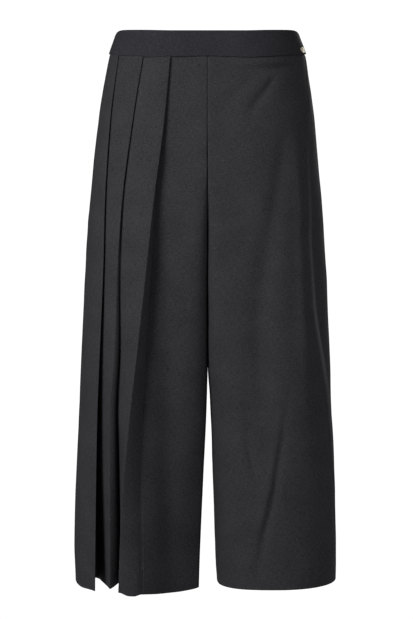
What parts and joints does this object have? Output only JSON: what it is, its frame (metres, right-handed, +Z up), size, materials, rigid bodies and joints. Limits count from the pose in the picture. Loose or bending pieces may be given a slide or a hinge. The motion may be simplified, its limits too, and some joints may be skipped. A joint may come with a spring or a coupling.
{
  "type": "culottes",
  "caption": "Wide-legged cropped trousers filled out with no wearer: a set waistband, knife pleats on one front, a plain front and backs, and a zip in the centre back seam.",
  "frame": {"origin": "centre of the waist opening, halfway up the waistband, where the wearer's waist holds the garment", "axes": "+Z up towards the waist, -Y the way the wearer faces, +X the wearer's left"},
  "size_m": [0.3825, 0.2516, 0.8053],
  "materials": {
    "suiting": "matt charcoal wool-blend suiting",
    "band_suiting": "matt charcoal suiting, faced and stiffened",
    "pale_metal": "polished pale gold-toned metal"
  },
  "bodies": {
    "garment": {"front_right": "suiting", "front_left": "suiting", "back_right": "suiting", "back_left": "suiting", "waistband_front": "band_suiting", "waistband_back_right": "band_suiting", "waistband_back_left": "band_suiting", "waist_plate": "pale_metal", "zip_slider": "pale_metal"},
    "zip_pull": {"zip_pull": "pale_metal"}
  },
  "joints": [
    {"name": "zip_pull_swing", "type": "hinge", "parent": "garment", "child": "zip_pull", "pos_m": [0, 0.10343, 0.009], "axis": [1, 0, 0], "range_deg": [0, 170]}
  ]
}
